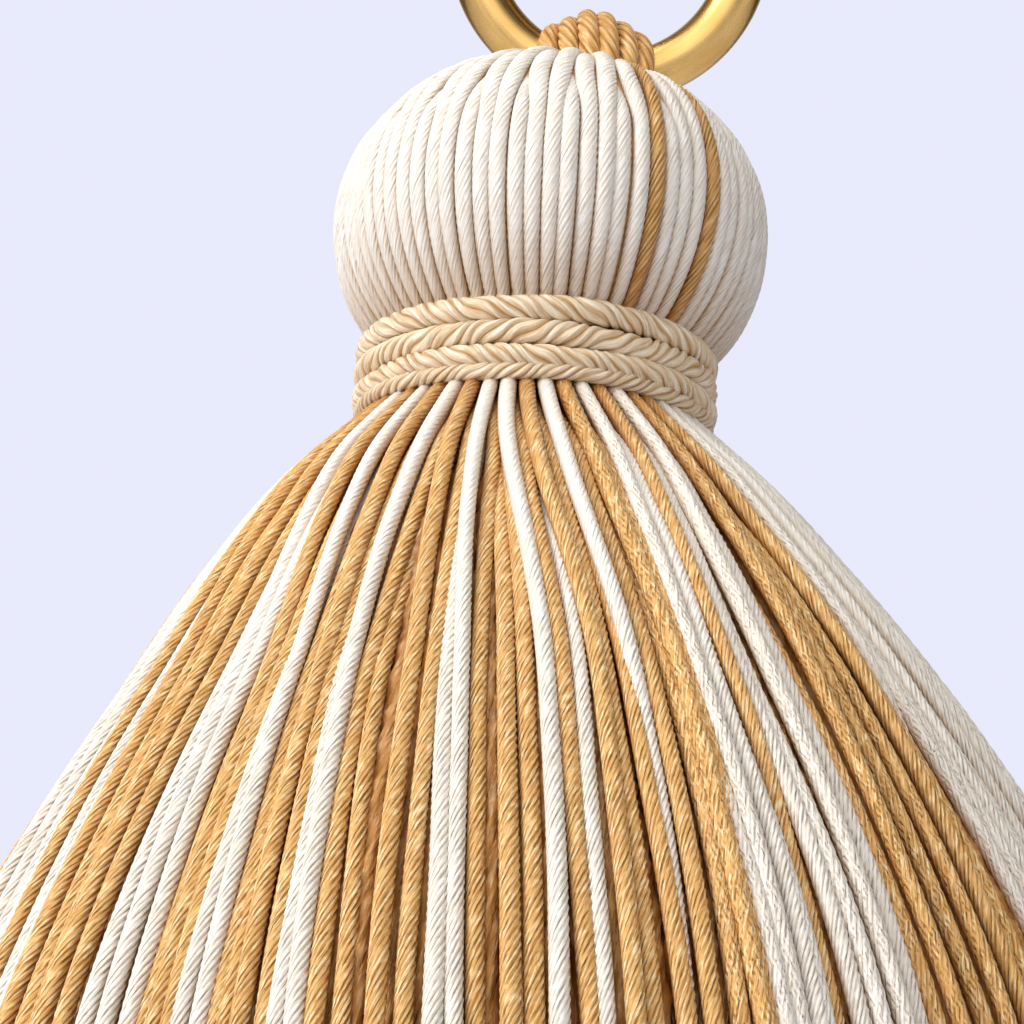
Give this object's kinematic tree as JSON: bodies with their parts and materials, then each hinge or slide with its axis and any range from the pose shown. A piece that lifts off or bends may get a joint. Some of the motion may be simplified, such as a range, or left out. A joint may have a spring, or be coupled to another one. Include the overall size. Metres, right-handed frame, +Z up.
{
  "type": "cord tassel with hanging ring",
  "caption": "Hanging cord tassel: metal ring, cord sling, ball head wrapped in upright cords, twisted cord binding and a flared two-colour skirt.",
  "frame": {"origin": "hang point: the top of the inside of the ring, where a hook or knob carries the tassel", "axes": "+Z up along the tassel's length, -Y towards the front that the picture shows, +X to the right"},
  "size_m": [0.0908, 0.0908, 0.1154],
  "materials": {
    "brass": "satin brushed brass",
    "gold_cord": "twisted viscose cord, silky, old gold",
    "ivory_cord": "twisted viscose cord, silky, ivory",
    "champagne_cord": "twisted viscose cord, silky, champagne"
  },
  "bodies": {
    "root": {"ring": "brass", "sling": "gold_cord", "head": "ivory_cord", "band_top": "champagne_cord", "band_middle": "champagne_cord", "band_bottom": "champagne_cord", "skirt": "gold_cord"}
  },
  "joints": []
}
